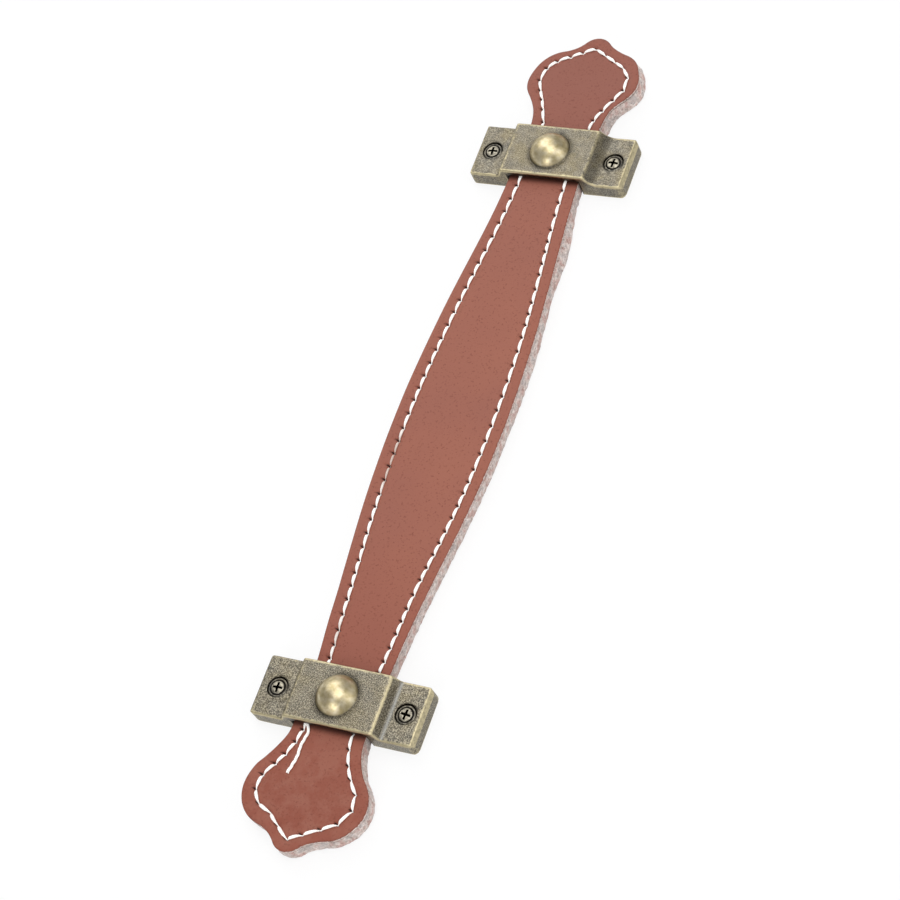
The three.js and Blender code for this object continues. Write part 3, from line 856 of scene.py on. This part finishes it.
def spun(name, profile, segments):
    # a closed profile in X and Z turned around Z
    bm = bmesh.new()
    verts = [bm.verts.new((x, 0, z)) for x, z in profile]
    edges = [bm.edges.new(pair) for pair in zip(verts[:-1], verts[1:])]
    bmesh.ops.spin(bm, geom=verts + edges, cent=(0, 0, 0), axis=(0, 0, 1), angle=2 * math.pi,
                   steps=segments, use_merge=True)
    bmesh.ops.remove_doubles(bm, verts=bm.verts, dist=0.0001)
    return toObject(name, toMesh(name, bm))


def cast(base, cuts, form):
    # joins and cuts solids, then gives the result the soft skin of a casting
    for operation, tool in cuts:
        step = base.modifiers.new(operation, "BOOLEAN")
        step.operation = operation
        step.object = tool
        step.solver = "EXACT"
    skin = base.modifiers.new("skin", "REMESH")
    skin.mode = "VOXEL"
    skin.voxel_size = form["voxel"]
    soft = base.modifiers.new("soft", "SMOOTH")
    soft.factor = 0.5
    soft.iterations = form["softness"]
    thin = base.modifiers.new("thin", "DECIMATE")
    thin.ratio = form["kept"]
    bpy.context.view_layer.update()
    shown = base.evaluated_get(bpy.context.evaluated_depsgraph_get())
    mesh = bpy.data.meshes.new_from_object(shown)
    for helper in [tool for _, tool in cuts] + [base]:
        bpy.data.objects.remove(helper)
    return mesh


def edgeWear(mesh, passes, height):
    # how far each point stands above its surroundings, from -1 in a hollow to 1 on a ridge
    places, normals, ends = meshArrays(mesh)
    count = len(places)
    degree = np.bincount(ends.ravel(), minlength=count).astype(float)
    smooth = places.copy()
    for _ in range(passes):
        total = np.zeros_like(smooth)
        for axis in range(3):
            total[:, axis] = (np.bincount(ends[:, 0], smooth[ends[:, 1], axis], count)
                              + np.bincount(ends[:, 1], smooth[ends[:, 0], axis], count))
        smooth = (smooth + total) / (degree + 1)[:, None]
    stands = ((places - smooth) * normals).sum(axis=1)
    return np.clip(stands / height, -1, 1)


def bracketFront():
    b = bracket
    end = b["half"]
    inset, drop = b["endBevel"]
    right, left = [[
        (end * side, 0), (end * side, b["footTop"] - drop), ((end - inset) * side, b["footTop"]),
        (b["legFoot"][side] * side, b["footTop"]), (b["bridgeHalf"] * side, b["bridgeTop"]),
    ] for side in (1, -1)]
    return right + left[::-1]


def alongY(*corners):
    # picks the long edges that run through corners of the front's outline
    def picks(edge):
        return any(all(math.hypot(vert.co.x - x, vert.co.z - z) < 0.01 for vert in edge.verts)
                   for x, z in corners)
    return picks


def frontRim(edge):
    # picks the edges around the upper side of the front and the back
    a, b = edge.verts
    level = abs(a.co.y - b.co.y) < 0.01
    high = min(a.co.z, b.co.z) > 0.5
    return level and high and abs(abs(a.co.y) - bracket["width"] / 2) < 0.01


def domeProfile():
    b = bracket
    sphere = (b["domeRadius"] ** 2 + b["domeRise"] ** 2) / (2 * b["domeRise"])
    centre = b["bridgeTop"] + b["domeRise"] - sphere
    root = b["bridgeTop"] - b["grooveDepth"] - 0.5
    edge = math.asin(b["domeRadius"] / sphere)
    arc = [(sphere * math.sin(edge * (1 - i / 24)), centre + sphere * math.cos(edge * (1 - i / 24)))
           for i in range(25)]
    return [(0, root), (b["domeRadius"], root)] + arc[:-1] + [(0, arc[-1][1])]


def buildBracket(name, node, y, seed, sandy, reach, material):
    b = bracket
    half, top, footTop = b["width"] / 2, b["bridgeTop"], b["footTop"]
    valley = b["valleyRadius"]["upperRight" if y > 0 else "lowerRight"]
    base = prism("casting", bracketFront(), "Y", -half, half, (
        (alongY((b["legFoot"][1], footTop)), valley, 6),
        (alongY((-b["legFoot"][-1], footTop)), b["valleyRadius"]["left"], 3),
        (alongY((b["bridgeHalf"], top), (-b["bridgeHalf"], top)), b["ridgeBevel"], 2),
        (frontRim, b["rimBevel"], 3),
    ))
    plan = prism("plan", [(b["half"] * i, half * j) for i, j in ((1, -1), (1, 1), (-1, 1), (-1, -1))],
                 "Z", -1, 12, ((lambda edge: abs(edge.verts[0].co.z - edge.verts[1].co.z) > 5,
                                b["cornerRadius"], 5),))
    slotEnd, slotTop = b["slotHalf"], b["slotTop"]
    slot = prism("slot", [(-slotEnd, -2), (slotEnd, -2), (slotEnd, slotTop), (-slotEnd, slotTop)],
                 "Y", -half - 1, half + 1,
                 ((alongY((slotEnd, slotTop), (-slotEnd, slotTop)), b["slotCorner"], 4),))
    outer = b["domeRadius"] + b["grooveWidth"]
    grooveFloor = top - b["grooveDepth"]
    groove = spun("groove", [
        (0, grooveFloor), (outer - 0.15, grooveFloor), (outer, top - b["grooveDepth"] * 0.6),
        (outer + 0.2, top + 1), (0, top + 1),
    ], 64)
    dome = spun("dome", domeProfile(), 96)
    cuts = [("INTERSECT", plan), ("DIFFERENCE", slot), ("DIFFERENCE", groove), ("UNION", dome)]
    floorAt = footTop - b["seatDepth"]
    for side in (1, -1):
        seat = spun("seat", [
            (0, -1), (b["boreRadius"], -1), (b["boreRadius"], floorAt - b["seatFloor"] + b["boreRadius"]),
            (b["seatFloor"], floorAt), (b["seatRadius"], footTop), (b["seatRadius"] + 0.1, footTop + 1),
            (0, footTop + 1),
        ], 64)
        seat.data.transform(Matrix.Translation((side * b["screwAt"], 0, 0)))
        cuts.append(("DIFFERENCE", seat))
    mesh = cast(base, cuts, b)
    places, normals, _ = meshArrays(mesh)
    across, along, z = places.T.copy()
    x, depth = np.abs(across), np.abs(along)
    fromAxis = np.hypot(x, depth)
    seatGap = np.hypot(x - b["screwAt"], depth)
    # hands rub the right end and its ridge most, and the left foot only along its front
    wear = edgeWear(mesh, 16, 0.11) * ramp(seatGap, 2.8, 3.2)
    wear *= 1 - 0.6 * ramp(across, -11.5, -12) * ramp(along, 0.6 - half, 0.9 - half)
    # partly painted highlight: the end bevel is made as bright as the polished edges
    inset, drop = b["endBevel"]
    proud = (across - b["half"] + inset) * drop + (z - footTop) * inset
    onBevel = ramp(proud / math.hypot(inset, drop), -0.12, -0.04)
    onRidge = np.exp(-((across - b["bridgeHalf"] + 0.05) / 0.32) ** 2) * ramp(z, top - 0.6, top - 0.4)
    wear = np.maximum.reduce([wear, 0.7 * onBevel, 0.85 * sandy * onRidge])
    onDome = ramp(fromAxis, b["domeRadius"] + 0.1, b["domeRadius"] - 0.1) * ramp(z, top, top + 0.3)
    # blackening from the bath around the dome, in the seats and below the bridge, deepened by painted
    # shade
    around = np.exp(-((fromAxis - outer) / 0.6) ** 2) * np.clip(1 - np.abs(z - top) / 0.6, 0, 1)
    frontLeft = np.maximum(0, -0.45 * across - 0.89 * along) / np.maximum(fromAxis, 0.1)
    backRight = np.maximum(0, 0.77 * across + 0.63 * along) / np.maximum(fromAxis, 0.1)
    # painted shade: the ring around the dome is darkest on its front-left and back-right
    around *= 0.12 + 0.6 * frontLeft + 0.45 * backRight
    # blackening in the seats, with painted shade in the gap around each screw head
    inSeat = (seatGap < b["seatRadius"] + 0.2) * np.clip((footTop - 0.06 - z) / 0.1, 0, 0.9)
    nearSeat = 0.2 * ramp(seatGap, 3.4, 2.7)
    # painted shade on the slot's roof, under the bridge
    inSlot = (x < slotEnd + 0.3) * ramp(z, slotTop + 0.35, slotTop + 0.15)
    # painted shade down the bridge's front face
    onFront = 0.85 * (x < slotEnd - 0.3) * ramp(depth, half - 0.3, half - 0.2)
    onFront *= ramp(z, top - 0.35, top - 0.85)
    blackAndShade = np.clip(np.maximum.reduce([around, inSeat, nearSeat, inSlot, onFront]), 0, 1)
    # painted reflection: a pale bluish streak along the foot of the right slope, on the sandier bracket
    filletGlint = np.exp(-((across - b["legFoot"][1] - 0.3) / 0.36) ** 2) * (z > 3.9) * (z < footTop + 0.5)
    filletGlint *= 0.75 * ramp(sandy, 0.6, 1)
    sandiness = np.full(len(places), sandy)
    setShares(mesh, wear=wear, polished=onDome, grime=blackAndShade, sandy=sandiness, scraped=filletGlint)
    places += normals * (noiseAt(places, 3.5, seed) * b["skew"])[:, None]
    places[:, 0] -= reach * np.clip((-18.6 - places[:, 0]) / 1.4, 0, 1.2)
    places[:, 2] = np.maximum(places[:, 2], 0.03)  # the feet are ground flat
    places[:, 1] += y + b["ahead"]
    setPlaces(mesh, places)
    finishPiece(name, mesh, node, material)


brassTones = {
    "clouds": ((0.32, "#5f5b51"), (0.5, "#716b5f"), (0.68, "#878070")),
    "sand": ((0.42, "#2c2924"), (0.5, "#716b5f"), (0.58, "#c8bfa7")),
    "warm": "#7f7352",
    "cool": "#646462",
    "rubbedAndHighlight": "#c8bc98",
    "blackAndShade": "#1d1915",
    "scraped": "#8c8c89",
    "dome": ((0.32, "#b7a87e"), (0.52, "#cdbf9b"), (0.7, "#e0d6ba")),
}
bronzeTones = {
    "clouds": ((0.32, "#3c3934"), (0.5, "#4d4942"), (0.68, "#67625a")),
    "sand": ((0.4, "#3c3934"), (0.5, "#4d4942"), (0.6, "#67625a")),
    "warm": "#5f5847",
    "cool": "#555553",
    "rubbedAndHighlight": "#c9c2ae",
    "blackAndShade": "#070605",
    "scraped": "#67625a",
    "dome": ((0.32, "#4d4942"), (0.68, "#67625a")),
}


def makeBrass(name, tones):
    # zinc casting plated with antique brass, blackened and relieved: sandy olive mottling, warm gold
    # where a hand or a wheel has taken the black off and near-black in the corners. Painted highlight on
    # the end bevels and screw heads, painted shade under and before the bridge, and a painted reflection
    # along a fillet
    material, add = newMaterial(name)
    grid = millimetres(add)
    clouds, tints, sand, buffing, patchy, haze = [
        add("TexNoise", {
            "Vector": grid, "Scale": 1 / size, "Detail": detail, "Roughness": rough, "Distortion": bent})
        for size, detail, rough, bent in (
            (2.4, 5, 0.6, 0.5), (4.5, 4, 0.6, 0), (0.26, 4, 0.7, 0), (1.6, 4, 0.6, 0), (0.8, 4, 0.65, 0),
            (0.5, 3, 0.5, 0))
    ]
    polished, wear = [add("Attribute", (), "Fac", attribute_name=name)
                      for name in ("polished", "wear")]
    patchy = add("MapRange", [patchy, 0.3, 0.7, -0.3, 0.25])
    patchyWearAndHighlight = add("Math", [wear, patchy], operation="ADD")
    patina, grains, dome = [add("ValToRGB", [pattern], stops=tones[tone])
                            for pattern, tone in ((clouds, "clouds"), (sand, "sand"), (buffing, "dome"))]
    metal = coated(add, patina, (
        (tints, 0.5, 0.62, 0.45, tones["warm"]),
        (tints, 0.47, 0.37, 0.45, tones["cool"]),
        ("sandy", 0, 1, 0.55, grains),
        # painted reflection along the lower bracket's right fillet
        ("scraped", 0, 1, 1, tones["scraped"]),
        (polished, 0, 1, 1, dome),  # the dome is buffed
        # bright gold on polished edges, on the end bevels and screw heads partly painted highlight
        (patchyWearAndHighlight, 0.2, 0.8, 0.9, tones["rubbedAndHighlight"]),
        (patchyWearAndHighlight, -0.6, -1.3, 0.6, tones["blackAndShade"]),
        # blackening, with painted shade under and before the bridge, around the dome and in the seats
        ("grime", 0, 1, 0.96, tones["blackAndShade"]),
    ))
    rough = add("MapRange", [haze, 0.3, 0.7, 0.36, 0.5])
    rough = add("Math", [polished, -0.04, rough], operation="MULTIPLY_ADD")
    relief = add("Bump", {"Height": sand, "Strength": 0.25, "Distance": 0.05 * mm})
    relief = add("Bump", {
        "Height": clouds, "Strength": 0.15, "Distance": 0.08 * mm, "Normal": relief})
    shader = add("BsdfPrincipled", {
        "Base Color": metal, "Roughness": rough, "Normal": relief, "Metallic": 1})
    add("OutputMaterial", {"Surface": shader})
    return material


# Screws

screw = {
    "headRadius": 2.3,
    "headRise": 0.45,
    "rimLevel": 4.0,
    "shankRadius": 1.05,
    "threadRadius": 1.27,
    "threadPitch": 1.1,
    "length": 16,
    "pointLength": 3.5,
    "crossSpan": 2.9,
    "crossWidth": 0.6,
    "crossDepth": 1.0,
    "ringRadius": 1.74,
    "ringDepth": 0.2,
    "plainNeck": 2.6,
    "crossTaper": 0.72,  # the arms of the recess narrow towards their bottom
    "voxel": 0.075,
    "softness": 3,
    "kept": 0.7,
}


def screwProfile():
    s = screw
    rim = s["rimLevel"]
    sphere = (s["headRadius"] ** 2 + s["headRise"] ** 2) / (2 * s["headRise"])
    tip = rim - s["length"]
    profile = [
        (0, tip), (s["shankRadius"], tip + s["pointLength"]),
        (s["shankRadius"], rim - s["plainNeck"] - 0.2), (s["threadRadius"], rim - s["plainNeck"] + 0.1),
        (s["threadRadius"], rim - (s["headRadius"] - s["threadRadius"])),
        (s["headRadius"], rim - 0.12), (s["headRadius"] + 0.02, rim - 0.03),
    ]
    for radius in np.linspace(s["headRadius"], 0, 29):
        crown = rim + s["headRise"] - sphere + math.sqrt(sphere ** 2 - radius ** 2)
        ring = math.exp(-((radius - s["ringRadius"]) / 0.16) ** 2)
        profile.append((radius, crown - s["ringDepth"] * ring))
    return profile


def screwThread():
    s = screw
    low = s["rimLevel"] - s["length"] + 0.4
    high = s["rimLevel"] - s["plainNeck"]
    turns = (high - low) / s["threadPitch"]
    bm = bmesh.new()
    inner = s["shankRadius"] - 0.25
    corners = [(inner, low - 0.28), (s["threadRadius"], low), (inner, low + 0.28)]
    verts = [bm.verts.new((x, 0, z)) for x, z in corners]
    side = bm.faces.new(verts)
    steps = int(turns * 28)
    bmesh.ops.spin(bm, geom=[side], cent=(0, 0, 0), axis=(0, 0, 1), angle=2 * math.pi * turns,
                   steps=steps, dvec=(0, 0, (high - low) / steps))
    # the crests run out towards the point
    for vert in bm.verts:
        share = min(1, max(0.05, (vert.co.z - (s["rimLevel"] - s["length"])) / s["pointLength"]))
        vert.co.x *= share
        vert.co.y *= share
    return toObject("thread", toMesh("thread", bm))


def buildScrew(name, node, x, y, turn, material):
    s = screw
    core = spun("core", screwProfile(), 48)
    helix = screwThread()
    long = s["crossSpan"] / 2
    short = s["crossWidth"] / 2
    crown = s["rimLevel"] + s["headRise"]
    outline = []
    for i in range(4):
        for px, py in ((long, -short), (long, short), (short, short)):
            for _ in range(i):
                px, py = -py, px
            outline.append((px, py))
    cross = prism("cross", outline, "Z", crown - s["crossDepth"], crown + 1)
    for vert in cross.data.vertices:
        if vert.co.z < crown:
            vert.co.x *= s["crossTaper"]
            vert.co.y *= s["crossTaper"]
    mesh = cast(core, [("UNION", helix), ("DIFFERENCE", cross)], s)
    places, _, _ = meshArrays(mesh)
    across, along, z = places.T.copy()
    rimLevel, ringAt = s["rimLevel"], s["ringRadius"]
    fromAxis = np.hypot(across, along)
    onHead = ramp(z, rimLevel - 0.14, rimLevel - 0.08)
    rim = ramp(fromAxis, ringAt, ringAt + 0.2) * onHead
    # partly painted highlight: the four raised quarters of the head are made bright
    facets = ramp(fromAxis, ringAt - 0.12, ringAt - 0.22) * onHead
    rubbedAndHighlight = np.maximum.reduce([edgeWear(mesh, 8, 0.06), rim * 0.28, facets * 0.55])
    # blackening and painted shade in the ring groove and the cross recess, and painted shade under the
    # head
    ring = np.clip(1.3 - np.abs(fromAxis - ringAt) / 0.18, 0, 1)
    crownHere = rimLevel + s["headRise"] * (1 - (fromAxis / s["headRadius"]) ** 2)
    inCross = (fromAxis < s["crossSpan"] / 2 + 0.1) * ramp(z, crownHere - 0.09, crownHere - 0.19)
    below = ramp(z, rimLevel - 0.14, rimLevel - 0.2) * np.clip((z - 2.4) / 0.4, 0, 0.8)
    blackAndShade = np.maximum.reduce([ring, inCross, below])
    setShares(mesh, wear=rubbedAndHighlight * (1 - blackAndShade), grime=blackAndShade)
    angle = math.radians(turn)
    places[:, 0] = across * math.cos(angle) - along * math.sin(angle) + x
    places[:, 1] = across * math.sin(angle) + along * math.cos(angle) + y
    setPlaces(mesh, places)
    finishPiece(name, mesh, node, material)


# Light and floor

light = {
    # heading and height in degrees, distance and width in metres, and the lamp's own brightness
    "overhead": (15, 80, 1.0, 0.8, 2.6),
    "backLeft": (130, 44, 0.9, 0.9, 1.85),
    "front": (-90, 29, 0.8, 0.45, 3.0),
    "right": (2, 32, 0.8, 0.6, 1.6),
}
room = {
    "ambience": 0.33,
    "horizon": 0.9,  # the room is white along the horizon, where the floor ends
    "horizonRise": (0.04, 0.12),  # heights between which the white fades into the ambience
    "floorHalf": 12,
    "floorGlow": 0.84,  # the rest is plain paper, which shows the object's shadow
}


def buildLights():
    for name, (heading, height, distance, width, brightness) in light.items():
        lamp = bpy.data.lights.new(name, "AREA")
        lamp.shape = "DISK"
        lamp.size = width
        lamp.energy = brightness * (math.pi * width / 2) ** 2
        thing = toObject(name, lamp)
        heading, height = math.radians(heading), math.radians(height)
        level = math.cos(height)
        away = Vector((math.cos(heading) * level, math.sin(heading) * level, math.sin(height)))
        thing.location = away * distance
        thing.rotation_euler = (-away).to_track_quat("-Z", "Y").to_euler()
    world = bpy.data.worlds.new("studio")
    world.use_nodes = True
    world.node_tree.nodes.clear()
    add = partial(addNode, world.node_tree)
    rise = add("SeparateXYZ", [add("TexCoord", (), "Generated")], "Z")
    low, high = room["horizonRise"]
    strength = add("MapRange", [rise, low, high, room["horizon"], room["ambience"]])
    glow = add("Background", {"Color": "#ffffff", "Strength": strength})
    add("OutputWorld", {"Surface": glow})
    bpy.context.scene.world = world


def buildFloor():
    bm = bmesh.new()
    bmesh.ops.create_grid(bm, x_segments=1, y_segments=1, size=room["floorHalf"])
    floor = toObject("floor", toMesh("floor", bm))
    material, add = newMaterial("whiteCard")
    paper = add("BsdfDiffuse", {"Color": "#f6f6f6"})
    glow = add("Emission", {"Color": "#ffffff", "Strength": 1})
    seen = add("LightPath", (), "Is Camera Ray")
    for kind in ("Is Glossy Ray", "Is Transmission Ray"):
        also = add("LightPath", (), kind)
        seen = add("Math", [seen, also], operation="MAXIMUM")
    share = add("Math", [seen, room["floorGlow"]], operation="MULTIPLY")
    both = add("MixShader", [share, paper, glow])
    add("OutputMaterial", {"Surface": both})
    floor.data.materials.append(material)


buildLights()
buildFloor()
print("stage set")

buildFaceLeather(makeFaceLeather())
buildBacking(makeBackingLeather())
threadMaterial = makeThread()
buildThread("stitch_thread_top_sewn", "stitch_thread_top", strap["top"], 1, threadMaterial)
buildThread("stitch_thread_under_sewn", "stitch_thread_under", strap["bottom"], -1, threadMaterial)

brass = makeBrass("antiqueBrassPlate", brassTones)
bronze = makeBrass("blackenedBronzePlate", bronzeTones)
crossTurns = {"upper": {"left": 4, "right": -3}, "lower": {"left": 2, "right": -6}}
for end, y, seed, sandy, reach in (
    ("upper", strap["bracketAt"], 11, 0.6, 0), ("lower", -strap["bracketAt"], 12, 1, 0.6),
):
    buildBracket(f"bracket_{end}_cast", f"bracket_{end}", y, seed, sandy, reach, brass)
    for side, x in (("left", -bracket["screwAt"]), ("right", bracket["screwAt"])):
        buildScrew(f"screw_{end}_{side}_cut", f"screw_{end}_{side}", x, y, crossTurns[end][side], bronze)
print("pieces made")

bpy.context.scene.view_settings.view_transform = "Standard"
